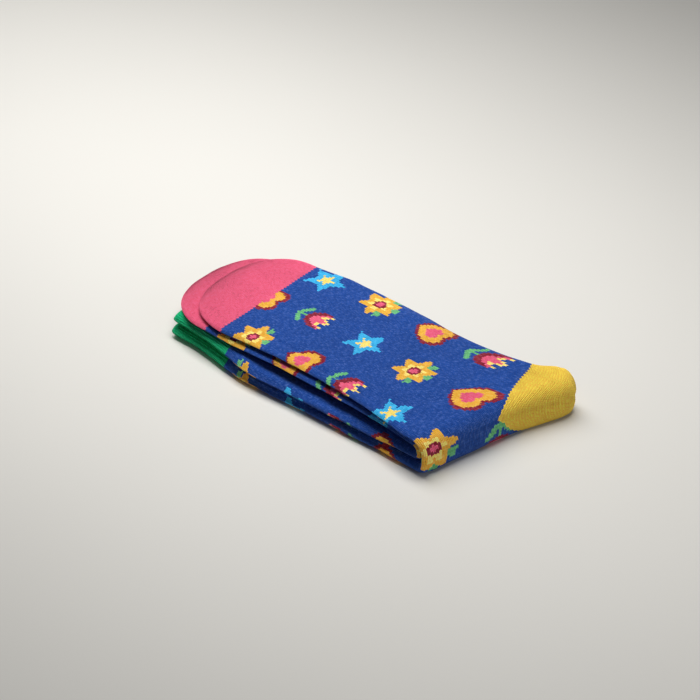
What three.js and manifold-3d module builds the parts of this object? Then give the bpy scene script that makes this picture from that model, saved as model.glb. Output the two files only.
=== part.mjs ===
// A pair of patterned crew socks, laid flat on each other and folded in half together at the
// ankle: both legs lie below with their ribbed cuffs at one end, both feet lie back over them.
//
// Millimetres. +X runs from the toes and cuffs to the fold, +Y from the instep side to the
// heel side and +Z up from the surface that the pair lies on.
//
// Each sock is a flattened tube that follows the fold. A place on it is given by three numbers:
//   station  how far along the sock: -1 the mouth, 0 the cuff's seam, 1 the start of the fold,
//            2 its front, 3 its end, 4 the toe's seam and 5 the tip of the toe
//   v        the distance across, from the near corner of the fold
//   skin     1 on the side that faces out of the fold, -1 on the side that faces into it

import * as THREE from "three";
import Module from "manifold-3d";

// ---- Driving sizes -------------------------------------------------------------------------

const SEAM = 0.3; // clear gap where two pieces of one sock meet
const BETWEEN = 0.6; // clear gap between the two socks

const CUFF = { mouth: -208, seam: -156, wall: 3, lip: 4 };

// X of the fold's front across the pair. It leans, because a sock's foot leaves its leg at an
// angle, and it is rounded off round the heel's corner.
const FRONT = [
  { v: -5, x: 3.0 },
  { v: 8, x: 5.6 },
  { v: 30, x: 11.4 },
  { v: 60, x: 20.2 },
  { v: 80, x: 28.4 },
  { v: 94, x: 34.4 },
  { v: 101, x: 35.8 },
  { v: 106, x: 34 },
  { v: 110, x: 30.4 },
  { v: 114, x: 24.6 },
];

// The faces between the layers, seen along the fold. Each turns from the leg's height to the
// foot's: how far it lies behind the front, and how deep and square its two bends are.
const FACES = {
  outside: { leg: "floor", foot: "top", setback: 0, lowDepth: 6, highDepth: 12, low: 3, high: 2.4 },
  middle: { leg: "legSeam", foot: "footSeam", setback: 5.5, lowDepth: 5, highDepth: 7, low: 2.6, high: 2.3 },
  inside: { leg: "legTop", foot: "footUnder", setback: 10.7, lowDepth: 1.6, highDepth: 1.6, low: 2, high: 2 },
};

// Heights of the stack's faces, from the toes' tips to the fold.
const STACK = [
  { x: -224, floor: 0, legSeam: 8.3, legTop: 16.4, footUnder: 15.4, footSeam: 18.8, top: 22.4 },
  { x: -206, floor: 0, legSeam: 8.3, legTop: 16.6, footUnder: 17.0, footSeam: 20.9, top: 24.6 },
  { x: -180, floor: 0, legSeam: 8.5, legTop: 16.8, footUnder: 17.3, footSeam: 21.4, top: 25.6 },
  { x: -156, floor: 0, legSeam: 8.2, legTop: 16.3, footUnder: 17.3, footSeam: 21.3, top: 25.7 },
  { x: -120, floor: 0, legSeam: 6.9, legTop: 13.5, footUnder: 17.0, footSeam: 21.1, top: 25.6 },
  { x: -70, floor: 0, legSeam: 6.5, legTop: 12.8, footUnder: 16.6, footSeam: 20.9, top: 25.5 },
  { x: -20, floor: 0, legSeam: 6.4, legTop: 12.7, footUnder: 15.9, footSeam: 20.6, top: 25.4 },
  { x: 40, floor: 0, legSeam: 6.4, legTop: 12.7, footUnder: 15.6, footSeam: 20.5, top: 25.4 },
];

// The two long edges of each sock. The heel's pocket swells the far edge round the fold.
const OUTLINE = {
  outer: [
    { station: -1, near: 3.0, far: 81 },
    { station: -0.5, near: 1.4, far: 82 },
    { station: 0, near: -2.4, far: 86 },
    { station: 0.12, near: -4.4, far: 90 },
    { station: 0.45, near: -3.0, far: 93 },
    { station: 0.75, near: -2.4, far: 96 },
    { station: 0.9, near: -2.4, far: 102 },
    { station: 1, near: -2.6, far: 108.5 },
    { station: 2, near: -2.8, far: 111.5 },
    { station: 3, near: -1.6, far: 109.8 },
    { station: 3.12, near: 0.6, far: 101.5 },
    { station: 3.33, near: 5.2, far: 97 },
    { station: 3.6, near: 7.2, far: 100 },
    { station: 3.85, near: 5.8, far: 100.5 },
    { station: 4, near: 4.4, far: 97.4 },
  ],
  inner: [
    { station: -1, near: 5.0, far: 80 },
    { station: -0.5, near: 2.8, far: 81 },
    { station: 0, near: -1.0, far: 85 },
    { station: 0.12, near: -3.8, far: 88.5 },
    { station: 0.45, near: -2.6, far: 91.5 },
    { station: 0.75, near: -1.4, far: 94 },
    { station: 0.9, near: -0.8, far: 98 },
    { station: 1, near: -0.6, far: 103 },
    { station: 2, near: -0.4, far: 103.5 },
    { station: 3, near: -0.2, far: 104 },
    { station: 3.12, near: 0.0, far: 99.5 },
    { station: 3.33, near: 1.4, far: 95.5 },
    { station: 3.6, near: 2.2, far: 97 },
    { station: 3.85, near: 2.0, far: 97 },
    { station: 4, near: 3.4, far: 94.6 },
  ],
};

const SOCKS = {
  outer: { faceOut: "outside", faceIn: "middle", toeSeam: -164, toeLength: 41, heelTip: 50 },
  inner: { faceOut: "middle", faceIn: "inside", toeSeam: -177, toeLength: 44, heelTip: 48 },
};

// The heel starts at a point on the fold's front and widens towards the far edge, to both sides
// of the line where its two halves are joined.
const HEEL = {
  rise: 4.3, // height of the tip above the middle of the front
  run: 60, // distance across in which the joining line comes down to that middle
  up: { spread: 1.8, power: 0.785 },
  down: { spread: 0.75, power: 1 },
  end: 113.5, // where the block that cuts it ends, past the far edge
  over: 1.4, // how many times thicker than the layer that block is
  tip: 0.4,
  margin: 0.38, // sideways, which leaves a seam's gap square to the slanting edge
};

// How square the toe's round outline is, how its thickness follows its width, and how far
// round the last ring lies.
const TOE = { square: 2.3, thinning: 0.45, last: 0.95 };
const EDGE_DEPTH = 0.48; // of a layer's round edge, in layer thicknesses

// Faceting.
const DETAIL = {
  flat: 9, // strips across a layer's flat side, which crowd towards the heel's corner
  crowding: 1.8,
  edge: 8, // strips round a long edge
  cuff: 3,
  lip: 3,
  leg: 8,
  bend: 7,
  foot: 10,
  toe: 8,
  heelRows: 22,
  heelSide: 20,
  measure: 24, // chords that a bend's length is added up from
};

const COLOURS = { knit: 0x2b4fa0, cuff: 0x0a7448, heel: 0xe8c042, toe: 0xea4c74 };

// ---- Numbers -------------------------------------------------------------------------------

const { lerp, clamp } = THREE.MathUtils;

/** A column of a table at a place in its first column, joined by smooth cubics. */
function sample(table, place, at, column) {
  const last = table.length - 1;
  const inside = clamp(at, table[0][place], table[last][place]);
  const row = Math.min(last - 1, Math.max(0, table.findIndex((r) => r[place] >= inside) - 1));
  const [a, b] = [table[row], table[row + 1]];
  const span = b[place] - a[place];
  const t = (inside - a[place]) / span;
  const slope = (i) => {
    const [low, high] = [table[Math.max(0, i - 1)], table[Math.min(last, i + 1)]];
    return ((high[column] - low[column]) / (high[place] - low[place])) * span;
  };
  const turn = t * t * (3 - 2 * t);
  const leaving = t * (1 - t) * (1 - t) * slope(row);
  const arriving = t * t * (t - 1) * slope(row + 1);
  return lerp(a[column], b[column], turn) + leaving + arriving;
}

// ---- The folded layers ---------------------------------------------------------------------

/** X of the fold's front at v. */
function foldFront(v) {
  return sample(FRONT, "v", v, "x");
}

/** The two parts of a bend of a face at an angle from its front, as shares of its size. */
function bendAt(angle, squareness) {
  const power = 2 / squareness;
  return { reach: Math.cos(angle) ** power, climb: Math.sin(angle) ** power };
}

/** X and height of a face of a sock at a station, v across. */
function facePoint(sock, faceName, station, v) {
  const face = FACES[faceName];
  const front = foldFront(v) - face.setback;
  const { toeSeam, toeLength } = SOCKS[sock];
  const height = (x, side) => sample(STACK, "x", x, face[side]);
  if (station <= 1) {
    const x =
      station < 0
        ? lerp(CUFF.seam, CUFF.mouth, -station)
        : lerp(CUFF.seam, front - face.lowDepth, station);
    return { x, z: height(x, "leg") };
  }
  if (station >= 3) {
    const x =
      station > 4
        ? toeSeam - toeLength * (station - 4)
        : lerp(front - face.highDepth, toeSeam, station - 3);
    return { x, z: height(x, "foot") };
  }
  const lower = station < 2;
  const depth = lower ? face.lowDepth : face.highDepth;
  const end = height(front - depth, lower ? "leg" : "foot");
  const middle = (height(front, "leg") + height(front, "foot")) / 2;
  const angle = (Math.abs(station - 2) * Math.PI) / 2;
  const { reach, climb } = bendAt(Math.min(angle, Math.PI / 2), lower ? face.low : face.high);
  return { x: front - depth * (1 - reach), z: lerp(middle, end, climb) };
}

/** A point in or on a sock. */
function sockPoint(sock, station, v, skin) {
  const { faceOut, faceIn } = SOCKS[sock];
  const outer = facePoint(sock, faceOut, station, v);
  const inner = facePoint(sock, faceIn, station, v);
  const gap = BETWEEN / 2 / Math.hypot(outer.x - inner.x, outer.z - inner.z);
  const outerGap = faceOut === "outside" ? 0 : gap;
  const innerGap = faceIn === "inside" ? 0 : gap;
  const share = lerp(innerGap, 1 - outerGap, (skin + 1) / 2);
  return new THREE.Vector3(lerp(inner.x, outer.x, share), v, lerp(inner.z, outer.z, share));
}

/** The long edges of a sock at a station. Past the toe's seam they close in a round. */
function edgesAt(sock, station) {
  const at = (column) => sample(OUTLINE[sock], "station", station, column);
  const [near, far] = [at("near"), at("far")];
  if (station <= 4) {
    return { near, far, thin: 1 };
  }
  const left = 1 - Math.min(1, station - 4) ** TOE.square;
  const half = ((far - near) / 2) * left ** (1 / TOE.square);
  const middle = (near + far) / 2;
  return { near: middle - half, far: middle + half, thin: left ** TOE.thinning };
}

/** A closed ring round a sock's layer at a station, moved inwards by inset. */
function ringAt(sock, station, inset = 0) {
  const { near, far, thin } = edgesAt(sock, station);
  const centre = (near + far) / 2;
  const thickness = sockPoint(sock, station, centre, 1).distanceTo(sockPoint(sock, station, centre, -1));
  const skin = thin * (1 - (2 * inset) / thickness);
  const edge = Math.min(EDGE_DEPTH * thickness * skin, (far - near) / 2 - inset);
  const [low, high] = [near + inset + edge, far - inset - edge];
  const ring = [];
  for (const way of [1, -1]) {
    for (let i = 0; i <= DETAIL.flat; i++) {
      const left = way > 0 ? 1 - i / DETAIL.flat : i / DETAIL.flat;
      ring.push(sockPoint(sock, station, lerp(high, low, left ** DETAIL.crowding), way * skin));
    }
    for (let i = 1; i < DETAIL.edge; i++) {
      const angle = (i / DETAIL.edge) * Math.PI;
      const v = (way > 0 ? high : low) + way * edge * Math.sin(angle);
      ring.push(sockPoint(sock, station, v, way * skin * Math.cos(angle)));
    }
  }
  return ring;
}

// ---- Meshes --------------------------------------------------------------------------------

/** Geometry from a list of points and a list of triangles. */
function meshOf(points, triangles) {
  const geometry = new THREE.BufferGeometry();
  const numbers = points.flatMap((point) => point.toArray());
  geometry.setAttribute("position", new THREE.Float32BufferAttribute(numbers, 3));
  geometry.setIndex(triangles.flat());
  return geometry;
}

/** Triangles that join ring after ring, each of size points. */
function bands(count, size, closed) {
  const triangles = [];
  for (let r = 0; r < (closed ? count : count - 1); r++) {
    const [here, next] = [r * size, ((r + 1) % count) * size];
    for (let i = 0; i < size; i++) {
      const j = (i + 1) % size;
      triangles.push([here + i, here + j, next + j], [here + i, next + j, next + i]);
    }
  }
  return triangles;
}

/** A solid through rings, with both ends closed. */
function loft(rings) {
  const size = rings[0].length;
  const points = rings.flat();
  const triangles = bands(rings.length, size, false);
  for (const [first, flip] of [[0, true], [(rings.length - 1) * size, false]]) {
    const middle = new THREE.Vector3();
    for (let i = 0; i < size; i++) {
      middle.addScaledVector(points[first + i], 1 / size);
      const [a, b] = [first + i, first + ((i + 1) % size)];
      triangles.push(flip ? [b, a, points.length] : [a, b, points.length]);
    }
    points.push(middle);
  }
  return meshOf(points, triangles);
}

/** A solid through rings whose last ring joins its first, as a wall that turns back. */
function sleeve(rings) {
  return meshOf(rings.flat(), bands(rings.length, rings[0].length, true));
}

/** Evenly spaced numbers from start to end, both included. */
function steps(start, end, count) {
  return Array.from({ length: count + 1 }, (_, i) => lerp(start, end, i / count));
}

// ---- Pieces --------------------------------------------------------------------------------

/** The leg and foot of a sock: one tube, from the cuff's seam round the fold to the toe's. */
function bodyTube(sock) {
  const leg = steps(0, 1, DETAIL.leg);
  const bends = [...steps(1, 2, DETAIL.bend), ...steps(2, 3, DETAIL.bend).slice(1)];
  const foot = steps(3, 4, DETAIL.foot);
  const stations = [...leg, ...bends.slice(1), ...foot.slice(1)];
  return loft(stations.map((station) => ringAt(sock, station)));
}

/** A ribbed cuff: a flat sleeve with an open slit and a rounded lip at its mouth. */
function cuffSleeve(sock) {
  const length = CUFF.seam - CUFF.mouth;
  const back = -SEAM / length;
  const front = -1 + CUFF.lip / length;
  const inside = steps(back, front, DETAIL.cuff).map((s) => ringAt(sock, s, CUFF.wall));
  const lip = steps(0, Math.PI, 2 * DETAIL.lip)
    .slice(1, -1)
    .map((angle) => {
      const reach = (Math.sin(angle) * CUFF.lip) / length;
      return ringAt(sock, front - reach, ((1 + Math.cos(angle)) / 2) * CUFF.wall);
    });
  const outside = steps(front, back, DETAIL.cuff).map((s) => ringAt(sock, s));
  return sleeve([...inside, ...lip, ...outside]);
}

/** A toe cap, closed in a flat round tip. */
function toeCap(sock) {
  const start = 4 + SEAM / SOCKS[sock].toeLength;
  const stations = steps(0, TOE.last * (Math.PI / 2), DETAIL.toe).map((angle) => {
    return lerp(start, 5, Math.sin(angle) ** (2 / TOE.square));
  });
  return loft(stations.map((station) => ringAt(sock, station)));
}

/** Length of one bend of a face at v, and of the straight run beyond it. */
function runLengths(sock, v, lower) {
  const face = SOCKS[sock].faceOut;
  const stations = steps(2, lower ? 1 : 3, DETAIL.measure);
  const bend = stations.map((station) => facePoint(sock, face, station, v));
  const chords = bend.slice(1).map((p, i) => Math.hypot(p.x - bend[i].x, p.z - bend[i].z));
  const end = facePoint(sock, face, lower ? 0 : 4, v);
  return {
    bend: chords.reduce((sum, chord) => sum + chord, 0),
    straight: Math.abs(bend.at(-1).x - end.x),
  };
}

/** The station at a distance along a sock's outward face from the fold's front, up or down. */
function stationAlong(sock, v, distance) {
  const lower = distance < 0;
  const { bend, straight } = runLengths(sock, v, lower);
  const along = Math.abs(distance);
  const turned = along < bend ? along / bend : 1 + (along - bend) / straight;
  return lower ? 2 - turned : 2 + turned;
}

/** Rings of a block round a sock's heel, thicker than its layer, grown sideways by margin. */
function heelRings(sock, margin) {
  const tip = SOCKS[sock].heelTip;
  const rows = [...steps(HEEL.end, tip, DETAIL.heelRows), ...(margin > 0 ? [tip - margin] : [])];
  return rows.map((v) => {
    const way = Math.max(0, v - tip);
    const line = HEEL.rise * (1 - way / HEEL.run);
    const reach = ({ spread, power }) => Math.max(HEEL.tip, spread * way ** power) + margin;
    const [low, high] = [line - reach(HEEL.down), line + reach(HEEL.up)];
    const stations = steps(low, high, DETAIL.heelSide).map((along) => stationAlong(sock, v, along));
    const outer = stations.map((station) => sockPoint(sock, station, v, HEEL.over));
    const inner = stations.map((station) => sockPoint(sock, station, v, -HEEL.over)).reverse();
    return [...outer, ...inner];
  });
}

/** That block as a solid. Its ends are strips, because its section is bent round the fold. */
function heelBlock(sock, margin) {
  const rings = heelRings(sock, margin);
  const size = rings[0].length;
  const points = rings.flat();
  const triangles = bands(rings.length, size, false);
  for (const [first, flip] of [[0, false], [(rings.length - 1) * size, true]]) {
    for (let i = 0; i < size / 2 - 1; i++) {
      const [a, b, c, d] = [first + i, first + i + 1, first + size - 2 - i, first + size - 1 - i];
      triangles.push(...(flip ? [[a, b, c], [a, c, d]] : [[a, c, b], [a, d, c]]));
    }
  }
  return meshOf(points, triangles);
}

// ---- Cutting the heel out of the tube ------------------------------------------------------

const wasm = await Module();
wasm.setup();

/** A mesh as a solid that can be cut. */
function toSolid(geometry) {
  return new wasm.Manifold(
    new wasm.Mesh({
      numProp: 3,
      vertProperties: new Float32Array(geometry.getAttribute("position").array),
      triVerts: new Uint32Array(geometry.getIndex().array),
    }),
  );
}

/** A cut solid as a mesh again. */
function toGeometry(solid) {
  const { vertProperties, triVerts } = solid.getMesh();
  const geometry = new THREE.BufferGeometry();
  geometry.setAttribute("position", new THREE.Float32BufferAttribute(vertProperties, 3));
  geometry.setIndex(Array.from(triVerts));
  return geometry;
}

/** A sock's tube without its heel, and the heel. */
function cutTube(sock) {
  const tube = toSolid(bodyTube(sock));
  const body = tube.subtract(toSolid(heelBlock(sock, HEEL.margin)));
  const heel = tube.intersect(toSolid(heelBlock(sock, 0)));
  return { body: toGeometry(body), heel: toGeometry(heel) };
}

// ---- The pair ------------------------------------------------------------------------------

const pair = new THREE.Group();

/** Adds one piece of cloth to the pair. */
function addPiece(name, geometry, color) {
  geometry.computeVertexNormals();
  const cloth = new THREE.MeshStandardMaterial({ color, roughness: 0.92, metalness: 0 });
  const mesh = new THREE.Mesh(geometry, cloth);
  mesh.name = name;
  pair.add(mesh);
}

for (const sock of Object.keys(SOCKS)) {
  const { body, heel } = cutTube(sock);
  addPiece(`${sock}_cuff`, cuffSleeve(sock), COLOURS.cuff);
  addPiece(`${sock}_body`, body, COLOURS.knit);
  addPiece(`${sock}_heel`, heel, COLOURS.heel);
  addPiece(`${sock}_toe`, toeCap(sock), COLOURS.toe);
}

// The origin is under the middle of the pair's box.
const box = new THREE.Box3().setFromObject(pair);
const centre = box.getCenter(new THREE.Vector3());
pair.position.set(-centre.x, -centre.y, -box.min.z);

export default pair;
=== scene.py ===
"""A pair of patterned crew socks, laid flat on each other and folded in half at the ankle.

Every piece of cloth is a hollow knitted tube, pocket or cap with a thin wall. It lies on the
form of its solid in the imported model, apart from the near edge of the inner sock's foot,
which is drawn in. Lengths in the tables and classes are millimetres, in the drawing's own
frame: +X from the toes and cuffs to the fold, +Y across from the instep side to the heel side
and +Z up. A place on a sock is given by

    station  how far along it: -1 the mouth, 0 the cuff's seam, 1 the start of the fold,
             2 its front, 3 its end, 4 the toe's seam and 5 the tip of the toe
    girth    how far round it: 0 the near edge, 0 to 1 the side that faces out of the fold,
             1 the far edge and 1 to 2 the side that faces into it
"""

from __future__ import annotations

import logging
import math
from dataclasses import dataclass
from enum import Enum
from typing import Optional, Union

import bpy
import numpy as np
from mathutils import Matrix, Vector

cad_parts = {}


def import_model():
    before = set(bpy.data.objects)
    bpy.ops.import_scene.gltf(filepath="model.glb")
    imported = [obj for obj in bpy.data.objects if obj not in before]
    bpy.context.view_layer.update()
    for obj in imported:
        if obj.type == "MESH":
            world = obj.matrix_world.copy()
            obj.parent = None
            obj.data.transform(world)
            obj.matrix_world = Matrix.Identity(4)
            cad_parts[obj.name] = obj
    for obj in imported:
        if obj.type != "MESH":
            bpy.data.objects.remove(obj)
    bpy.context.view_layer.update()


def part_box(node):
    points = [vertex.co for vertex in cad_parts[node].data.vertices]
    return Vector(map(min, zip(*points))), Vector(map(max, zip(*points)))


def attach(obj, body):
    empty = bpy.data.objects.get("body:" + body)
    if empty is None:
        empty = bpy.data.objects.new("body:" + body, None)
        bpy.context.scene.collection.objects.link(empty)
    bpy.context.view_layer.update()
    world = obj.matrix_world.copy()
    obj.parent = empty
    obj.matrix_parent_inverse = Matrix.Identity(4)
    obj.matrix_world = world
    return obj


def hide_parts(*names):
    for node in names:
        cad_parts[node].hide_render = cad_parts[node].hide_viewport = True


LOG = logging.getLogger("socks")
MM = 0.001

Number = Union[float, np.ndarray]
Triple = tuple[float, float, float]
Colour = tuple[float, float, float, float]
Dye = Union[Colour, bpy.types.NodeSocket]


# ---- Form ----------------------------------------------------------------------------------


def between(start: Number, end: Number, share: Number) -> Number:
    """What lies so large a share of the way from a start to an end."""
    return start + (end - start) * share


class Curve:
    """A smooth curve through the rows of a short table of places and values."""

    def __init__(self, *rows: tuple[float, float]) -> None:
        """Works out the slope at each row.

        Args:
            rows: pairs of a place and the value there, in rising order of place.
        """
        self.places = np.array([row[0] for row in rows], float)
        self.values = np.array([row[1] for row in rows], float)
        row = np.arange(len(rows))
        ahead, behind = np.minimum(row + 1, len(rows) - 1), np.maximum(row - 1, 0)
        rise = self.values[ahead] - self.values[behind]
        self.slopes = rise / (self.places[ahead] - self.places[behind])

    def at(self, where: Number) -> np.ndarray:
        """The value at a place, held level past both ends of the table."""
        inside = np.clip(where, self.places[0], self.places[-1])
        row = np.clip(np.searchsorted(self.places, inside) - 1, 0, len(self.places) - 2)
        span = self.places[row + 1] - self.places[row]
        t = (inside - self.places[row]) / span
        start, end = self.values[row], self.values[row + 1]
        leaving = t * (1 - t) ** 2 * self.slopes[row] * span
        arriving = t * t * (t - 1) * self.slopes[row + 1] * span
        return start + (end - start) * t * t * (3 - 2 * t) + leaving + arriving


# X of the fold's front across the pair.
FRONT = Curve(
    (-5, 3.0), (8, 5.6), (30, 11.4), (60, 20.2), (80, 28.4),
    (94, 34.4), (101, 35.8), (106, 34), (110, 30.4), (114, 24.6),
)

# Heights of the faces between the layers, from the toes' tips to the fold.
STACK_PLACES = (-224, -206, -180, -156, -120, -70, -20, 40)
STACK = {
    name: Curve(*zip(STACK_PLACES, heights))
    for name, heights in {
        "floor": (0, 0, 0, 0, 0, 0, 0, 0),
        "leg_seam": (8.3, 8.3, 8.5, 8.2, 6.9, 6.5, 6.4, 6.4),
        "leg_top": (16.4, 16.6, 16.8, 16.3, 13.5, 12.8, 12.7, 12.7),
        "foot_under": (15.4, 17.0, 17.3, 17.3, 17.0, 16.6, 15.9, 15.6),
        "foot_seam": (18.8, 20.9, 21.4, 21.3, 21.1, 20.9, 20.6, 20.5),
        "top": (22.4, 24.6, 25.6, 25.7, 25.6, 25.5, 25.4, 25.4),
    }.items()
}

CUFF_MOUTH, CUFF_SEAM = -208.0, -156.0
SOCK_GAP = 0.6  # clear gap between the two socks
ROUND_END = 4.0  # station where the toe starts to close
TOE_SQUARE, TOE_THINNING = 2.3, 0.45

# How long each stretch between two stations is along the cloth, and half of its girth.
STATIONS = np.array([-1.0, 0, 1, 2, 3, 4, 5])
LENGTHS = np.array([-52.0, 0, 166, 182, 201, 376, 418])
HALF_GIRTH = 95.0


@dataclass(frozen=True)
class Face:
    """A face between two layers, bent round the fold.

    Attributes:
        leg, foot: the heights that it has below and above the fold.
        setback: how far it lies behind the fold's front.
        low_depth, high_depth: how deep its two bends are.
        low, high: how square they are.
        gap: clear gap that a sock leaves to it.
    """

    leg: str
    foot: str
    setback: float
    low_depth: float
    high_depth: float
    low: float
    high: float
    gap: float = 0.0

    def point(self, sock: "Sock", station: np.ndarray, across: np.ndarray) -> tuple:
        """X and height of the face.

        Args:
            sock: the sock that it belongs to, for the toe's place.
            station: how far along the sock.
            across: Y.

        Returns:
            Two arrays, X and Z.
        """
        front = FRONT.at(across) - self.setback
        cuff = between(CUFF_SEAM, CUFF_MOUTH, -station)
        leg = between(CUFF_SEAM, front - self.low_depth, station)
        foot = between(front - self.high_depth, sock.toe_seam, station - 3)
        toe = sock.toe_seam - sock.toe_length * (station - 4)
        straight_x = np.where(
            station <= 1,
            np.where(station < 0, cuff, leg),
            np.where(station > 4, toe, foot),
        )
        lower = station < 2
        straight_z = np.where(
            lower, STACK[self.leg].at(straight_x), STACK[self.foot].at(straight_x)
        )
        depth = np.where(lower, self.low_depth, self.high_depth)
        end = np.where(
            lower, STACK[self.leg].at(front - depth), STACK[self.foot].at(front - depth)
        )
        middle = (STACK[self.leg].at(front) + STACK[self.foot].at(front)) / 2
        angle = np.minimum(np.abs(station - 2), 1) * math.pi / 2
        power = 2 / np.where(lower, self.low, self.high)
        reach, climb = np.cos(angle) ** power, np.sin(angle) ** power
        bent = (station > 1) & (station < 3)
        x = np.where(bent, front - depth * (1 - reach), straight_x)
        z = np.where(bent, between(middle, end, climb), straight_z)
        return x, z


OUTSIDE = Face("floor", "top", 0, 6, 12, 3, 2.4)
MIDDLE = Face("leg_seam", "foot_seam", 5.5, 5, 7, 2.6, 2.3, gap=SOCK_GAP / 2)
INSIDE = Face("leg_top", "foot_under", 10.7, 1.6, 1.6, 2, 2)


@dataclass(frozen=True)
class HeelSide:
    """How the heel widens to one side of the line where its two halves are joined.

    Attributes:
        spread: how wide it is 1 mm from the heel's tip.
        power: how it widens from there, 1 being in a straight line.
    """

    spread: float
    power: float


HEEL_RISE, HEEL_RUN = 4.3, 60.0  # its joining line's height at the tip, and the run to 0
HEEL_UP, HEEL_DOWN = HeelSide(1.8, 0.785), HeelSide(0.75, 1.0)
HEEL_GUESS, HEEL_ROUNDS = 2.1, 12  # first station and rounds of the search for its lines
EDGE_DEPTH = 0.9  # of a layer's thin edge, in layer thicknesses
EDGE_POINT = 1.25  # how pointed that edge is, 1 being round
EDGE_CUT = 0.78  # length of that edge's bend, against a quarter of a circle
BEND_STEPS = 25  # along the fold's bend, where its length is measured
LEAST = 1e-6  # kept away from dividing by nothing


@dataclass(frozen=True)
class Sock:
    """The form of one sock of the pair.

    Attributes:
        name: the start of its pieces' names.
        face_out, face_in: the faces that it lies between.
        toe_seam: X of the toe's seam.
        toe_length: from that seam to the tip.
        heel_tip: Y where the heel starts on the fold's front.
        near, far: its long edges against station.
        phase: where its soft unevenness starts.
    """

    name: str
    face_out: Face
    face_in: Face
    toe_seam: float
    toe_length: float
    heel_tip: float
    near: Curve
    far: Curve
    phase: float

    def layer_point(self, station: Number, across: Number, skin: Number) -> np.ndarray:
        """A point in the sock's layer.

        Args:
            station: how far along.
            across: Y.
            skin: 1 on the layer's outward side and -1 on its inward one.

        Returns:
            The point, or an array of them.
        """
        station, across, skin = np.broadcast_arrays(
            *(np.asarray(value, float) for value in (station, across, skin))
        )
        outer = np.stack(self.face_out.point(self, station, across), axis=-1)
        inner = np.stack(self.face_in.point(self, station, across), axis=-1)
        thick = np.linalg.norm(outer - inner, axis=-1)
        low, high = self.face_in.gap / thick, 1 - self.face_out.gap / thick
        share = (low + (high - low) * (skin + 1) / 2)[..., None]
        flat = inner + (outer - inner) * share
        return np.stack([flat[..., 0], across, flat[..., 1]], axis=-1)

    def edges(self, station: Number) -> tuple:
        """The near edge, the far edge and the share of the thickness that is left there."""
        near, far = self.near.at(station), self.far.at(station)
        past = np.clip(np.asarray(station, float) - ROUND_END, 0, 1)
        left = 1 - past**TOE_SQUARE
        half = (far - near) / 2 * left ** (1 / TOE_SQUARE)
        middle = (near + far) / 2
        return middle - half, middle + half, left**TOE_THINNING

    def around(self, station: Number, girth: Number, inset: Number = 0.0) -> tuple:
        """Where a place round the sock lies in its layer.

        Args:
            station: how far along.
            girth: how far round, from 0 to 2.
            inset: how far inside the cloth's outer side.

        Returns:
            Y and skin.
        """
        near, far, thin = self.edges(station)
        middle = (near + far) / 2
        skins = [self.layer_point(station, middle, side) for side in (1, -1)]
        thick = np.linalg.norm(skins[0] - skins[1], axis=-1)
        inward = np.asarray(girth) > 1
        share = np.where(inward, 2 - np.asarray(girth), girth)
        full = np.minimum(EDGE_DEPTH * thick * thin, (far - near) / 2)
        low, high = near + inset, far - inset
        depth = np.maximum(np.minimum(full, (high - low) / 2), LEAST)
        quarter = depth * 0.5 * math.pi * EDGE_CUT
        flat = np.maximum(high - low - 2 * depth, 0)
        run = share * (2 * quarter + flat)
        rising = np.clip(run / quarter, 0, 1) * math.pi / 2
        falling = np.clip((run - quarter - flat) / quarter, 0, 1) * math.pi / 2
        across = low + depth * (1 - np.cos(rising)) + np.clip(run - quarter, 0, flat)
        across = across + depth * np.sin(falling)
        profile = (np.sin(rising) * np.cos(falling)).clip(0, 1) ** EDGE_POINT
        skin = profile * thin * np.maximum(1 - 2 * inset / thick, 0)
        return across, np.where(inward, -skin, skin)

    def surface(self, station: Number, girth: Number, inset: Number = 0.0) -> np.ndarray:
        """Points on the cloth's outer side, or inset from it by a number of millimetres."""
        across, skin = self.around(station, girth, inset)
        return self.layer_point(station, across, skin)

    def station_along(self, across: np.ndarray, distance: np.ndarray) -> np.ndarray:
        """The station at a distance along the outward face from the fold's front.

        Args:
            across: Y.
            distance: distances, negative towards the cuff.

        Returns:
            The stations.
        """
        lower = distance < 0
        turn = np.linspace(0, 1, BEND_STEPS)[:, None]
        way = np.where(lower, -1.0, 1.0)
        x, z = self.face_out.point(self, 2 + turn * way, across + 0 * turn)
        bend = np.hypot(np.diff(x, axis=0), np.diff(z, axis=0)).sum(axis=0)
        ends, _ = self.face_out.point(self, np.where(lower, 0.0, 4.0), across)
        straight = np.abs(x[-1] - ends)
        along = np.abs(distance)
        turned = np.where(along < bend, along / bend, 1 + (along - bend) / straight)
        return 2 + way * turned

    def heel_reach(self, across: np.ndarray, side: HeelSide) -> np.ndarray:
        """How far the heel reaches to one side of its line at Y."""
        return side.spread * np.maximum(0, across - self.heel_tip) ** side.power

    def heel_line(self, across: np.ndarray) -> np.ndarray:
        """Distance from the fold's front to the line where the heel's halves are joined."""
        return HEEL_RISE * (1 - np.maximum(0, across - self.heel_tip) / HEEL_RUN)

    def heel_border(self, girth: np.ndarray, share: float) -> np.ndarray:
        """Stations of a line through the heel.

        Args:
            girth: places round the sock.
            share: -1 is the border on the leg, 0 the joining line, 1 the border on the foot.

        Returns:
            One station for each place. Short of the heel's tip the three lines are one.
        """
        station = np.full(np.shape(girth), HEEL_GUESS)
        side = HEEL_UP if share > 0 else HEEL_DOWN
        for _ in range(HEEL_ROUNDS):
            across, _ = self.around(station, girth)
            reach = self.heel_reach(across, side) * share
            station = self.station_along(across, self.heel_line(across) + reach)
        return station


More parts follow.
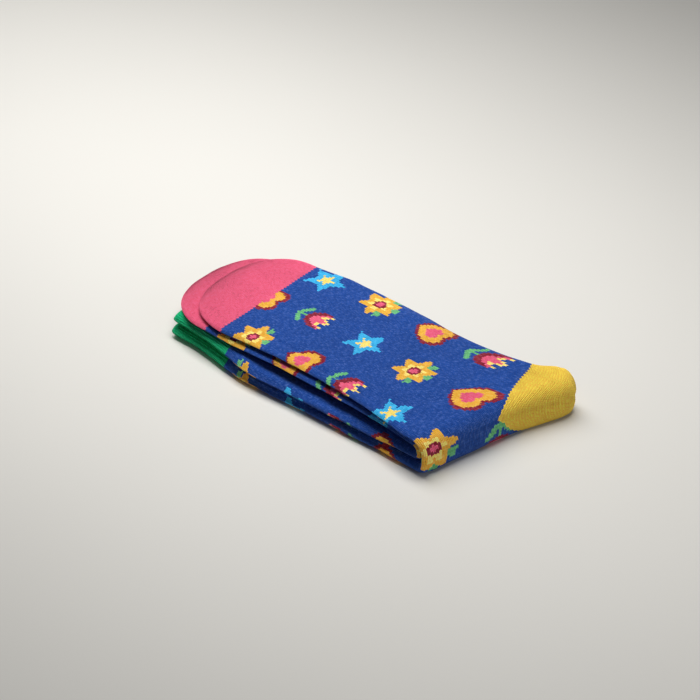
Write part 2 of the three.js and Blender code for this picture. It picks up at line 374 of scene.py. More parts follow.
OUTER = Sock(
    "outer", OUTSIDE, MIDDLE, toe_seam=-164, toe_length=41, heel_tip=50, phase=0.0,
    near=Curve(
        (-1, 3.0), (-0.5, 1.4), (0, -2.4), (0.12, -4.4), (0.45, -3.0), (0.75, -2.4),
        (0.9, -2.4), (1, -2.6), (2, -2.8), (3, -1.6), (3.12, 0.6), (3.33, 5.2),
        (3.6, 7.2), (3.85, 5.8), (4, 4.4),
    ),
    far=Curve(
        (-1, 81), (-0.5, 82), (0, 86), (0.12, 90), (0.45, 93), (0.75, 96),
        (0.9, 102), (1, 108.5), (2, 111.5), (3, 109.8), (3.12, 101.5), (3.33, 97),
        (3.6, 100), (3.85, 100.5), (4, 97.4),
    ),
)
INNER = Sock(
    "inner", MIDDLE, INSIDE, toe_seam=-177, toe_length=44, heel_tip=48, phase=2.3,
    near=Curve(
        (-1, 5.0), (-0.5, 2.8), (0, -1.0), (0.12, -3.8), (0.45, -2.6), (0.75, -1.4),
        (0.9, -0.8), (1, -0.6), (2, -0.4), (3, 0.2), (3.12, 2.2), (3.33, 4.0),
        (3.6, 4.6), (3.85, 3.0), (4, 3.4),
    ),
    far=Curve(
        (-1, 80), (-0.5, 81), (0, 85), (0.12, 88.5), (0.45, 91.5), (0.75, 94),
        (0.9, 98), (1, 103), (2, 103.5), (3, 104), (3.12, 99.5), (3.33, 95.5),
        (3.6, 97), (3.85, 97), (4, 94.6),
    ),
)


def length_at(station: Number) -> np.ndarray:
    """How far along the cloth a station is from the cuff's seam."""
    return np.interp(station, STATIONS, LENGTHS)


def station_at(length: Number) -> np.ndarray:
    """The station that is so far along the cloth from the cuff's seam."""
    return np.interp(length, LENGTHS, STATIONS)


# ---- Creases -------------------------------------------------------------------------------


CREASE_DEPTH = 1.7  # all creases together, against their own depths
CREASE_BOW = 0.03  # how far one bows aside, against its length
CREASE_ENDS = 0.55  # how deep it is at its ends, against its middle
CREASE_RUNOUT = 2.2  # how far it runs out past them, against its width
SETTLE = 0.2  # how far all the cloth lies in, so that its ridges stay near its solid
CREASE_DRIFT = 3.0  # the most that a sock's creases are moved along the cloth


@dataclass(frozen=True)
class Crease:
    """A soft trough, or a ridge where depth is negative, laid along the cloth.

    Attributes:
        start, end: its ends, each a length along the cloth and a distance round it.
        width: half of its width.
        depth: how deep it is in its middle.
    """

    start: tuple[float, float]
    end: tuple[float, float]
    width: float
    depth: float

    def relief(self, length: np.ndarray, way: np.ndarray) -> np.ndarray:
        """How far it moves the cloth outwards.

        Args:
            length: distances along the cloth.
            way: distances round it.

        Returns:
            The moves, negative in a trough.
        """
        line = np.array(self.end) - np.array(self.start)
        size = math.hypot(*line)
        from_start = (length - self.start[0], way - self.start[1])
        along = (from_start[0] * line[0] + from_start[1] * line[1]) / size
        aside = (from_start[1] * line[0] - from_start[0] * line[1]) / size
        arch = np.sin(np.clip(along / size, 0, 1) * math.pi)
        bow = aside - CREASE_BOW * size * arch
        past = np.maximum(0, np.maximum(-along, along - size))
        fade = np.exp(-((past / (CREASE_RUNOUT * self.width)) ** 2))
        middle = CREASE_ENDS + (1 - CREASE_ENDS) * arch
        return -CREASE_DEPTH * self.depth * middle * fade * np.exp(-((bow / self.width) ** 2))


# Lengths along the cloth from the cuff's seam, then distances round it from the near edge.
CREASES = (
    Crease((232, 6.0), (330, 5.0), 1.4, 0.75),
    Crease((214, 12.5), (282, 9.5), 1.7, 0.45),
    Crease((300, 13.0), (368, 8.0), 1.8, 0.55),
    Crease((168, 5.5), (196, 6.5), 1.5, 0.5),
    Crease((22, 5.5), (118, 6.5), 1.5, 0.55),
    Crease((0, 186.0), (92, 184.0), 1.5, 0.6),
    Crease((96, 183.5), (158, 185.0), 1.6, 0.5),
    Crease((208, 185.0), (352, 184.5), 1.5, 0.55),
    Crease((206, 60.0), (232, 84.0), 3.2, 0.5),
    Crease((204, 44.0), (226, 30.0), 3.5, 0.4),
    Crease((248, 89.0), (322, 90.0), 2.0, 0.5),
    Crease((20, 88.0), (96, 89.5), 1.9, 0.5),
    Crease((352, 24.0), (372, 62.0), 3.0, 0.35),
    Crease((120, 22.0), (160, 50.0), 4.0, 0.3),
    Crease((12, 96.0), (104, 99.0), 1.7, 0.45),
)

# Height, waves a metre along, how often a wave swings on its way round, and its phase.
RIPPLES = (
    (0.16, 11.0, 2, 0.4),
    (0.12, 19.0, 3, 2.1),
    (0.08, 31.0, 5, 4.4),
    (0.06, 47.0, 7, 1.3),
)


def soft_relief(sock: Sock, length: np.ndarray, girth: np.ndarray) -> np.ndarray:
    """How far creases and unevenness move a sock's cloth outwards.

    Args:
        sock: the sock.
        length: distances along the cloth.
        girth: places round it.

    Returns:
        The moves, in millimetres.
    """
    way = girth * HALF_GIRTH
    move = -SETTLE * np.ones(np.broadcast(length, girth).shape)
    for crease in CREASES:
        move = move + crease.relief(length + CREASE_DRIFT * math.sin(sock.phase), way)
    for amount, along, swings, phase in RIPPLES:
        turn = math.pi * swings * girth + phase + sock.phase
        move = move + amount * np.sin(2 * math.pi * along * length * MM + 2 * np.sin(turn))
    return move


# ---- Meshes --------------------------------------------------------------------------------


class Frame:
    """Where the drawing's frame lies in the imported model."""

    def __init__(self) -> None:
        """Reads the place of the outer sock's cuff."""
        low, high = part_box("outer_cuff")
        near, far, _ = OUTER.edges(0.0)
        self.shift = np.array(
            [low.x / MM - CUFF_MOUTH, (low.y + high.y) / 2 / MM - float(near + far) / 2, 0]
        )

    def place(self, points: np.ndarray) -> np.ndarray:
        """Drawing points in millimetres as row-frame points in metres."""
        return (points + self.shift) * MM


NO_NORMAL = 1e-9  # size below which a normal is taken as none


def unit_normals(points: np.ndarray, closed: bool) -> np.ndarray:
    """Outward normals of a grid of points, rows along a sock and columns round it.

    Args:
        points: the grid.
        closed: whether its last column lies on its first.

    Returns:
        One unit vector for each point.
    """
    if closed:
        wide = np.concatenate([points[:, -2:-1], points, points[:, 1:2]], axis=1)
        around = wide[:, 2:] - wide[:, :-2]
    else:
        around = np.gradient(points, axis=1)
    normals = np.cross(around, np.gradient(points, axis=0))
    size = np.linalg.norm(normals, axis=-1, keepdims=True)
    return normals / np.maximum(size, NO_NORMAL)


def deselect() -> None:
    """Selects nothing."""
    bpy.ops.object.select_all(action="DESELECT")


def make_active(*objects: bpy.types.Object) -> None:
    """Selects only these objects, the first of them active."""
    deselect()
    for piece in objects:
        piece.select_set(True)
    bpy.context.view_layer.objects.active = objects[0]


def knit_strip(name: str, points: np.ndarray, weave: np.ndarray) -> bpy.types.Object:
    """A grid of cloth laid on points.

    Args:
        name: the object's name.
        points: row-frame points, rows along the sock and columns round it.
        weave: distances round and along the cloth at each of them, in metres.

    Returns:
        The object, whose UV map "weave" has those distances.
    """
    rows, columns = points.shape[:2]
    deselect()
    bpy.ops.mesh.primitive_grid_add(
        x_subdivisions=columns - 1, y_subdivisions=rows - 1, size=1, calc_uvs=True
    )
    piece = bpy.context.active_object
    piece.name = name
    mesh = piece.data
    mesh.name = name
    flat = np.zeros(len(mesh.vertices) * 3, np.float32)
    mesh.vertices.foreach_get("co", flat)
    flat = flat.reshape(-1, 3)
    column = np.rint((flat[:, 0] + 0.5) * (columns - 1)).astype(int)
    row = np.rint((flat[:, 1] + 0.5) * (rows - 1)).astype(int)
    mesh.vertices.foreach_set("co", points[row, column].astype(np.float32).ravel())
    corner = np.zeros(len(mesh.loops), np.int32)
    mesh.loops.foreach_get("vertex_index", corner)
    layer = mesh.uv_layers.active
    layer.name = "weave"
    places = weave[row[corner], column[corner]].astype(np.float32)
    layer.data.foreach_set("uv", places.ravel())
    mesh.update()
    return piece


MERGE = 1e-6  # points this near each other, in metres, are one
RIM_ANGLE = 50  # degrees between faces past which an edge is a cut rim


def stitch(piece: bpy.types.Object, *others: bpy.types.Object) -> bpy.types.Object:
    """Joins strips into one piece and closes their shared edges."""
    if others:
        make_active(piece, *others)
        bpy.ops.object.join()
    make_active(piece)
    bpy.ops.object.mode_set(mode="EDIT")
    bpy.ops.mesh.select_all(action="SELECT")
    bpy.ops.mesh.remove_doubles(threshold=MERGE)
    bpy.ops.object.mode_set(mode="OBJECT")
    return piece


def thicken(piece: bpy.types.Object, wall: float) -> None:
    """Gives a piece its wall in millimetres, inwards from its outer side."""
    make_active(piece)
    solid = piece.modifiers.new("wall", "SOLIDIFY")
    solid.thickness = wall * MM
    solid.offset = -1
    solid.use_rim = True
    bpy.ops.object.modifier_apply(modifier=solid.name)


def smooth(piece: bpy.types.Object) -> None:
    """Shades a piece smooth, apart from its cut rims."""
    make_active(piece)
    bpy.ops.object.shade_smooth_by_angle(angle=math.radians(RIM_ANGLE))


# ---- Shader nodes --------------------------------------------------------------------------


Term = Union["Signal", float]


class Signal:
    """A number that a node gives, with the usual operators."""

    def __init__(self, graph: "Graph", socket: bpy.types.NodeSocket) -> None:
        """Keeps the socket and the graph that it belongs to."""
        self.graph, self.socket = graph, socket

    def math(self, operation: str, *others: Term) -> "Signal":
        """A Math node on this number and others."""
        return self.graph.math(operation, self, *others)

    def __add__(self, other: Term) -> "Signal":
        """This number plus another."""
        return self.math("ADD", other)

    def __sub__(self, other: Term) -> "Signal":
        """This number less another."""
        return self.math("SUBTRACT", other)

    def __rsub__(self, other: Term) -> "Signal":
        """A number less this one."""
        return self.graph.math("SUBTRACT", other, self)

    def __mul__(self, other: Term) -> "Signal":
        """This number times another."""
        return self.math("MULTIPLY", other)

    def __truediv__(self, other: Term) -> "Signal":
        """This number over another."""
        return self.math("DIVIDE", other)

    def __rtruediv__(self, other: Term) -> "Signal":
        """A number over this one."""
        return self.graph.math("DIVIDE", other, self)

    def __pow__(self, other: Term) -> "Signal":
        """This number to a power."""
        return self.math("POWER", other)

    def __lt__(self, other: Term) -> "Signal":
        """1 where this number is less than another, and 0 elsewhere."""
        return self.math("LESS_THAN", other)

    def __gt__(self, other: Term) -> "Signal":
        """1 where this number is more than another, and 0 elsewhere."""
        return self.math("GREATER_THAN", other)

    def __and__(self, other: Term) -> "Signal":
        """1 where both masks are 1."""
        return self.math("MULTIPLY", other)

    def __or__(self, other: Term) -> "Signal":
        """1 where either mask is 1."""
        return self.math("MAXIMUM", other)

    __radd__, __rmul__ = __add__, __mul__

    def __abs__(self) -> "Signal":
        """Its size without its sign."""
        return self.math("ABSOLUTE")

    def floor(self) -> "Signal":
        """The whole number below."""
        return self.math("FLOOR")

    def fract(self) -> "Signal":
        """What is past the whole number below."""
        return self.math("FRACT")

    def mod(self, other: Term) -> "Signal":
        """What is left after whole shares, never negative."""
        return self.math("FLOORED_MODULO", other)

    def sin(self) -> "Signal":
        """Sine of an angle in radians."""
        return self.math("SINE")

    def cos(self) -> "Signal":
        """Cosine of an angle in radians."""
        return self.math("COSINE")


class Graph:
    """The nodes of one material."""

    def __init__(self, name: str) -> None:
        """Makes a material with only an output and a Principled shader."""
        self.material = bpy.data.materials.new(name)
        self.material.use_nodes = True
        self.tree = self.material.node_tree
        self.tree.nodes.clear()
        self.shader = self.node("ShaderNodeBsdfPrincipled")
        self.node("ShaderNodeOutputMaterial", inputs={"Surface": self.shader.outputs[0]})

    def node(
        self,
        kind: str,
        settings: Optional[dict] = None,
        inputs: Optional[dict] = None,
    ) -> bpy.types.Node:
        """Adds a node.

        Args:
            kind: its type.
            settings: its own settings, which are set first.
            inputs: values or links of its sockets, by name or number.

        Returns:
            The node.
        """
        made = self.tree.nodes.new(kind)
        for name, value in (settings or {}).items():
            setattr(made, name, value)
        for name, value in (inputs or {}).items():
            if isinstance(value, Signal):
                self.tree.links.new(value.socket, made.inputs[name])
            elif isinstance(value, bpy.types.NodeSocket):
                self.tree.links.new(value, made.inputs[name])
            else:
                made.inputs[name].default_value = value
        return made

    def math(self, operation: str, *values: Term) -> Signal:
        """A Math node on numbers, in the order of its sockets."""
        made = self.node(
            "ShaderNodeMath", {"operation": operation}, dict(enumerate(values))
        )
        return Signal(self, made.outputs[0])

    def weave(self) -> tuple[Signal, Signal]:
        """Distances round and along the cloth, in millimetres."""
        uv = self.node("ShaderNodeUVMap", {"uv_map": "weave"})
        split = self.node("ShaderNodeSeparateXYZ", inputs={0: uv.outputs[0]})
        return Signal(self, split.outputs[0]) * 1000, Signal(self, split.outputs[1]) * 1000

    def noise(self, scale: float) -> Signal:
        """Noise about 0.5 over the object, its scale in features a metre."""
        place = self.node("ShaderNodeTexCoord")
        made = self.node(
            "ShaderNodeTexNoise",
            inputs={"Vector": place.outputs["Object"], "Scale": scale, "Detail": 2.0},
        )
        return Signal(self, made.outputs[0])

    def streaks(self, way: Signal, along: Signal, size: tuple[float, float]) -> Signal:
        """Noise about 0.5 on the cloth, drawn out along the yarn.

        Args:
            way: distance round the cloth.
            along: distance along it.
            size: millimetres that a streak is wide and long.

        Returns:
            The noise.
        """
        place = self.node(
            "ShaderNodeCombineXYZ", inputs={0: way / size[0], 1: along / size[1]}
        )
        made = self.node(
            "ShaderNodeTexNoise",
            {"noise_dimensions": "2D"},
            {"Vector": place.outputs[0], "Scale": 1.0, "Detail": 3.0},
        )
        return Signal(self, made.outputs[0])

    def mix(self, share: Term, first: Dye, second: Dye) -> bpy.types.NodeSocket:
        """A colour between two, the share being that of the second."""
        made = self.node(
            "ShaderNodeMix", {"data_type": "RGBA"}, {0: share, 6: first, 7: second}
        )
        return made.outputs[2]

    def shade(self, colour: Dye, amount: Signal) -> bpy.types.NodeSocket:
        """A colour made darker or lighter by an amount about 1."""
        grey = self.node("ShaderNodeCombineXYZ", inputs={0: amount, 1: amount, 2: amount})
        made = self.node(
            "ShaderNodeMix",
            {"data_type": "RGBA", "blend_type": "MULTIPLY"},
            {0: 1.0, 6: colour, 7: grey.outputs[0]},
        )
        return made.outputs[2]

    def bump(self, height: Signal, distance: float) -> None:
        """Feeds a height into the shader's normal, a height of 1 standing so many metres."""
        made = self.node(
            "ShaderNodeBump",
            inputs={"Height": height, "Distance": distance, "Strength": 1.0},
        )
        self.tree.links.new(made.outputs[0], self.shader.inputs["Normal"])


def srgb(red: int, green: int, blue: int) -> Colour:
    """A screen colour from 0 to 255 as a linear one."""
    def linear(value: int) -> float:
        """One part of it."""
        share = value / 255
        return share / 12.92 if share <= 0.04045 else ((share + 0.055) / 1.055) ** 2.4

    return linear(red), linear(green), linear(blue), 1.0


class Yarn(Enum):
    """The colours of yarn that the socks are knitted from."""

    BLUE = srgb(12, 62, 142)
    GREEN = srgb(0, 166, 110)
    YELLOW = srgb(224, 188, 67)
    PINK = srgb(214, 82, 116)
    ORANGE = srgb(219, 164, 53)
    CREAM = srgb(234, 208, 108)
    WINE = srgb(128, 17, 40)
    SKY = srgb(47, 164, 219)
    LEAF = srgb(94, 170, 112)


WALES = 120  # stitches in a round


@dataclass(frozen=True)
class Stitches:
    """The size of the knit's stitches.

    Attributes:
        wale: width of one.
        course: height of one.
        slant: how far its two legs lean, in stitches.
        depth: how high they stand, in metres.
    """

    wale: float = 2 * HALF_GIRTH / WALES
    course: float = 1.3
    slant: float = 1.0
    depth: float = 0.0006

    def lay(self, round_way: Signal, along: Signal) -> tuple[Signal, Signal, Signal]:
        """Works out the stitch at a place.

        Args:
            round_way: distance round the cloth.
            along: distance along it.

        Returns:
            Distances round and along of the stitch's middle, and its height from 0 to 1.
        """
        wales = round_way / self.wale
        aside = abs(wales.fract() - 0.5)
        courses = along / self.course + aside * self.slant
        leg = ((wales.fract() * 2).fract() * math.pi).sin()
        turn = (courses.fract() * math.pi).sin()
        height = leg**0.7 * (turn**0.6 * 0.6 + 0.4)
        middle = (wales.floor() + 0.5) * self.wale
        return middle, (courses.floor() + 0.5) * self.course, height


HEEL_STITCHES = Stitches(wale=1.6, course=1.3, slant=0.5, depth=0.0007)
FIBRE = (0.45, 0.58, 0.78, 1.0)  # loose fibres that catch the light
STREAK = (0.7, 2.6)  # how wide and long they lie in streaks
FIBRE_HEIGHT = 0.35  # how high they stand, against a stitch
FROST_START = 0.56  # how thick they lie where they start to show
CLOUDS, CLOUD_DEPTH = 38.0, 0.45  # a metre, and how much lighter the cloth is in one


@dataclass(frozen=True)
class KnitFinish:
    """Plain knitted cloth of one yarn.

    Attributes:
        name: the material's name.
        yarn: its main yarn.
        stitches: the size of its stitches.
        sheen: how much the nap catches light.
        painted_hollow_shade: painted shade, how much darker the hollows between the stitches
            are painted.
        uneven: how much one stitch's yarn differs from the next one's.
        nap: how much the loose fibres streak it.
        frost: how pale they make it.
        base: how light it is before all of these.
        roughness: how matt it is.
    """

    name: str
    yarn: Yarn
    stitches: Stitches = Stitches()
    sheen: float = 0.05
    painted_hollow_shade: float = 1.3
    uneven: float = 0.34
    nap: float = 0.7
    frost: float = 0.26
    base: float = 0.1
    roughness: float = 0.86

    def colour(self, graph: Graph, way: Signal, along: Signal) -> Dye:
        """The colour of a stitch.

        Args:
            graph: the material's nodes.
            way: distance round the cloth of its middle.
            along: distance along it.

        Returns:
            The yarn's colour.
        """
        return self.yarn.value

    def build(self) -> bpy.types.Material:
        """Makes the material."""
        graph = Graph(self.name)
        way, along = graph.weave()
        middle_way, middle_along, height = self.stitches.lay(way, along)
        colour = self.colour(graph, middle_way, middle_along)
        heather = graph.streaks(way, along, STREAK)
        cloud = graph.noise(CLOUDS)
        spot = graph.node("ShaderNodeCombineXYZ", inputs={0: middle_way, 1: middle_along})
        chance = graph.node(
            "ShaderNodeTexWhiteNoise", {"noise_dimensions": "2D"}, {0: spot.outputs[0]}
        )
        uneven = Signal(graph, chance.outputs[0]) * self.uneven
        frost = (heather + uneven * 0.5 - FROST_START) * self.frost
        colour = graph.mix(frost, colour, FIBRE)
        # Painted shade: the hollows between the stitches are painted darker by each stitch's
        # height. Heather, nap and clouds vary the tone at random.
        amount = height * self.painted_hollow_shade + heather * self.nap + cloud * CLOUD_DEPTH
        dyed = graph.shade(colour, amount + uneven + self.base)
        shader = graph.shader
        graph.tree.links.new(dyed, shader.inputs["Base Color"])
        shader.inputs["Roughness"].default_value = self.roughness
        shader.inputs["Specular IOR Level"].default_value = 0.25
        shader.inputs["Sheen Weight"].default_value = self.sheen
        shader.inputs["Sheen Roughness"].default_value = 0.45
        graph.bump(height + heather * FIBRE_HEIGHT, self.stitches.depth)
        return graph.material


@dataclass(frozen=True)
class PatternedKnit(KnitFinish):
    """Knitted cloth with small motifs, in columns that step down in turn.

    Attributes:
        columns: motifs in a round.
        pitch: from one motif to the next along the cloth.
        shift: how far the first column lies back round the near edge.
    """

    columns: int = 5
    pitch: float = 41.6
    shift: float = 12.0

    def colour(self, graph: Graph, way: Signal, along: Signal) -> Dye:
        """The colour of the yarn that a stitch is knitted with."""
        width = 2 * HALF_GIRTH / self.columns
        way = way + self.shift
        column = (way / width).floor().mod(self.columns)
        rows = along / self.pitch + (column * 2).mod(self.columns) / self.columns
        # The last two columns start one kind later, so that a round has all the kinds.
        kind = (rows.floor() + column * 2 + (column > 2.5)).mod(len(MOTIFS))
        x = ((way / width).fract() - 0.5) * width
        y = (0.5 - rows.fract()) * self.pitch
        colour = self.yarn.value
        for number, motif in enumerate(MOTIFS):
            here = graph.math("COMPARE", kind, float(number), 0.1)
            for mask, yarn in motif(graph, x, y):
                colour = graph.mix(mask & here, colour, yarn.value)
        return colour


# A motif is drawn about its middle, in millimetres, Y rising to its top. It is a list of masks
# and yarns, each knitted over the ones before.
Motif = list[tuple[Signal, Yarn]]


def blossom(graph: Graph, x: Signal, y: Signal) -> Motif:
    """A flower of six petals with leaf tips between them."""
    radius = (x * x + y * y) ** 0.5
    lobes = (graph.math("ARCTAN2", y, x) * 6).cos()
    leaves = (radius < 13.6) & (lobes < -0.45) & (y > -1.0)
    return [
        (leaves, Yarn.LEAF),
        (radius < lobes * 2.6 + 10.6, Yarn.ORANGE),
        (radius < lobes * 1.5 + 6.2, Yarn.CREAM),
        (radius < 4.1, Yarn.WINE),
        (radius < 2.4, Yarn.PINK),
    ]


def star(graph: Graph, x: Signal, y: Signal) -> Motif:
    """A five-pointed star with a small one in it."""
    radius = (x * x + y * y) ** 0.5
    fifth = (graph.math("ARCTAN2", x, y) * (5 / math.tau)).fract()
    tip = abs(fifth * 2 - 1)
    rim = 1 / (tip / 14.0 + (1 - tip) / 6.6)
    return [
        (radius < rim, Yarn.SKY),
        (radius < rim * 0.42, Yarn.CREAM),
    ]


def tulip(graph: Graph, x: Signal, y: Signal) -> Motif:
    """A tulip with three petal tips, a stem and two leaves."""
    side = abs(x)
    bowl = ((x / 8.6) ** 2 + ((y - 3) / 10.5) ** 2) < 1
    top = (x * (math.tau / 7.4)).cos() * 3.2 + 8.0
    stem = (side < 0.9) & (y < -6) & (y > -15)
    leaf = (((side - 4.6) / 4.4) ** 2 + ((y + 11 - side * 0.7 + 3.2) / 2.1) ** 2) < 1
    cup = bowl & (y < top)
    return [
        (stem | leaf, Yarn.LEAF),
        (cup, Yarn.PINK),
        (cup & (y > top - 2.9), Yarn.CREAM),
        (cup & (y < x * x * 0.16 - 3.6), Yarn.WINE),
    ]


def heart(graph: Graph, x: Signal, y: Signal) -> Motif:
    """A heart in a rim, with a small one in it."""
    def filled(size: float, rise: float) -> Signal:
        """A heart of a size, its middle raised."""
        wide, high = x / size, (y - rise) / size
        ball = wide * wide + high * high - 1
        return (ball * ball * ball - wide * wide * high * high * high) < 0

    return [
        (filled(11.2, -0.8), Yarn.WINE),
        (filled(9.0, -0.8), Yarn.ORANGE),
        (filled(4.6, -0.4), Yarn.PINK),
    ]


MOTIFS = (blossom, star, tulip, heart)


# ---- Pieces --------------------------------------------------------------------------------


@dataclass
class SockBuilder:
    """Makes the four pieces of one sock.

    Attributes:
        sock: its form.
        frame: where the drawing lies.
        finishes: the materials, by their slots.
        around: faces round the tube.
        spacing: length of a face along it.
        wall: thickness of the knit.
        cuff_wall: thickness of the cuff's doubled knit.
        lip: how long the cuff's rounded mouth is.
        ribs: ribs round the cuff.
        rib_depth: how far they stand out.
        tooth: how far a stitch steps past its neighbours where the yarn changes.
        course_depth: how deep the hollows between the heel's rows of stitches are.
        course_steps: faces to each of those rows.
        gusset_depth, gusset_width: the trough along the heel's joining line.
        tooth_fade, relief_fade: widths of the heel below which its teeth and relief fade.
        toe_gusset: how far in from its edges the toe's joining lines start.
        toe_inset: how much further in they lie all along.
        toe_depth, toe_width: the trough along them.
        toe_rows: rows of points along the toe.
        toe_start, toe_rise: angles towards its tip at which its first row's steps have
            faded and the trough has reached its depth.
        tip_fade: how far from the toe's tip its relief starts to fade.
        edge_fade: share of the round over which the heel's relief fades at its far edge.
        rib_fade: how far from the cuff's ends its ribs start to fade.
        rib_least: how much of them is left at its mouth.
        rib_steps: faces to a rib.
        cuff_rows: rows of points inside the cuff, round its mouth and outside.
        clear: least height above the surface that the pair lies on.
    """

    sock: Sock
    frame: Frame
    finishes: dict[str, bpy.types.Material]
    around: int = 144
    spacing: float = 1.7
    wall: float = 1.2
    cuff_wall: float = 2.4
    lip: float = 4.0
    ribs: int = 96
    rib_depth: float = 0.28
    tooth: float = 0.5
    course_depth: float = 0.17
    course_steps: int = 5
    gusset_depth: float = 0.55
    gusset_width: float = 1.3
    tooth_fade: float = 6.0
    relief_fade: float = 16.0
    toe_gusset: float = 9.0
    toe_inset: float = 3.0
    toe_depth: float = 0.6
    toe_width: float = 1.9
    toe_rows: int = 40
    toe_start: float = 0.15
    toe_rise: float = 0.3
    tip_fade: float = 22.0
    edge_fade: float = 0.05
    rib_fade: float = 2.5
    rib_least: float = 0.15
    rib_steps: int = 5
    cuff_rows: tuple[int, int, int] = (14, 11, 34)
    clear: float = 0.05

    def girths(self) -> np.ndarray:
        """The places round the tube where its faces meet."""
        return np.linspace(0, 2, self.around + 1)

    def lie(
        self, lengths: np.ndarray, girth: np.ndarray, inset: Number = 0.0,
        extra: Number = 0.0, closed: bool = True,
    ) -> np.ndarray:
        """Where a strip of cloth lies on the sock.

        Args:
            lengths: lengths along the cloth, a row for each row of points.
            girth: places round it, of the same shape or one row.
            inset: how far inside the outer side each point lies.
            extra: further moves outwards.
            closed: whether the strip goes all round.

        Returns:
            The grid of its points.
        """
        girth = np.broadcast_to(girth, lengths.shape)
        points = self.sock.surface(station_at(lengths), girth, inset)
        relief = soft_relief(self.sock, lengths, girth) + extra
        relief = relief * np.clip((LENGTHS[6] - lengths) / self.tip_fade, 0, 1)
        points = points + unit_normals(points, closed) * relief[..., None]
        points[..., 2] = np.maximum(points[..., 2], self.clear)
        if closed:
            points[:, -1] = points[:, 0]
        return points

    def lay(
        self, name: str, points: np.ndarray, girth: np.ndarray, along: np.ndarray
    ) -> bpy.types.Object:
        """Makes a strip of cloth.

        Args:
            name: the strip's name.
            points: the grid of its points.
            girth: places round the sock of its columns.
            along: distances that its rows of stitches follow.

        Returns:
            The strip.
        """
        girth = np.broadcast_to(girth, along.shape)
        weave = np.stack([girth * HALF_GIRTH, along], axis=-1) * MM
        return knit_strip(name, self.frame.place(points), weave)

    def teeth(self) -> np.ndarray:
        """How far a strip's end steps back and forth where the yarn changes."""
        return self.tooth * np.cos(math.pi * np.arange(self.around + 1))

    def heel_edges(self) -> tuple[np.ndarray, np.ndarray, np.ndarray]:
        """Lengths of the heel's border on the leg, its joining line and its upper border."""
        girth = self.girths()
        low, line, high = (
            length_at(self.sock.heel_border(girth, share)) for share in (-1, 0, 1)
        )
        across, _ = self.sock.around(station_at(line), girth)
        short = across <= self.sock.heel_tip
        step = self.teeth() * np.clip((high - low) / self.tooth_fade, 0, 1)
        return (
            np.where(short, line, low + step),
            line,
            np.where(short, line, high + step),
        )

    def rows(self, start: np.ndarray, end: np.ndarray, spacing: float) -> np.ndarray:
        """Rows of lengths from one line round the tube to another.

        Args:
            start: the lengths of the first row.
            end: the lengths of the last one.
            spacing: the most between two rows, or near it.

        Returns:
            The rows.
        """
        count = int(np.max(end - start) / spacing)
        share = np.linspace(0, 1, count + 1)[:, None]
        return start + (end - start) * share

    def body(self) -> bpy.types.Object:
        """The leg and foot, open where the heel's pocket is."""
        girth = self.girths()
        low, _, high = self.heel_edges()
        name = f"{self.sock.name}_body_cloth"
        leg_along = self.rows(0 * girth, low, self.spacing)
        foot_along = self.rows(high, LENGTHS[5] + self.teeth(), self.spacing)
        leg, foot = self.lie(leg_along, girth), self.lie(foot_along, girth)
        joined = high <= low
        leg[-1, joined] = foot[0, joined] = (leg[-1, joined] + foot[0, joined]) / 2
        piece = stitch(
            self.lay(name, leg, girth, leg_along),
            self.lay(name + "_foot", foot, girth, foot_along),
        )
        thicken(piece, self.wall)
        return piece

    def heel(self) -> bpy.types.Object:
        """The heel's pocket, round the far edge."""
        low, line, high = self.heel_edges()
        inside = np.flatnonzero(high > low)
        use = slice(inside[0] - 1, inside[-1] + 2)
        low, line, high, girth = low[use], line[use], high[use], self.girths()[use]
        lengths = self.rows(low, high, HEEL_STITCHES.course / self.course_steps)
        down, up = line - low, high - line
        courses = np.where(
            lengths < line,
            lengths - low,
            (high - lengths) * down / np.maximum(up, LEAST),
        )
        aside = lengths - line
        share = np.clip((high - low) / self.relief_fade, 0, 1)
        gusset = -self.gusset_depth * share * np.exp(-((aside / self.gusset_width) ** 2))
        turn = np.cos(courses / HEEL_STITCHES.course * math.tau)
        gusset = gusset - self.course_depth * share * (1 + turn) / 2
        gusset = gusset * np.clip((1 - girth) / self.edge_fade, 0, 1)
        points = self.lie(lengths, girth, extra=gusset, closed=False)
        piece = self.lay(f"{self.sock.name}_heel_cloth", points, girth, courses)
        stitch(piece)
        thicken(piece, self.wall)
        return piece

    def toe(self) -> bpy.types.Object:
        """The toe cap, closed in a flat round tip."""
        turn = np.linspace(0, math.pi / 2, self.toe_rows)
        station = ROUND_END + np.sin(turn) ** (2 / TOE_SQUARE)
        girth = self.girths()
        step = self.teeth() * np.clip(1 - turn / self.toe_start, 0, 1)[:, None]
        lengths = length_at(station)[:, None] + step
        from_edge = np.minimum(girth % 1, 1 - girth % 1) * HALF_GIRTH
        aside = from_edge - self.toe_gusset * np.cos(turn)[:, None] - self.toe_inset
        gusset = -self.toe_depth * np.exp(-((aside / self.toe_width) ** 2))
        gusset = gusset * np.clip(turn / self.toe_rise, 0, 1)[:, None]
        points = self.lie(lengths, girth, extra=gusset)
        piece = self.lay(f"{self.sock.name}_toe_cloth", points, girth, lengths)
        stitch(piece)
        thicken(piece, self.wall)
        return piece

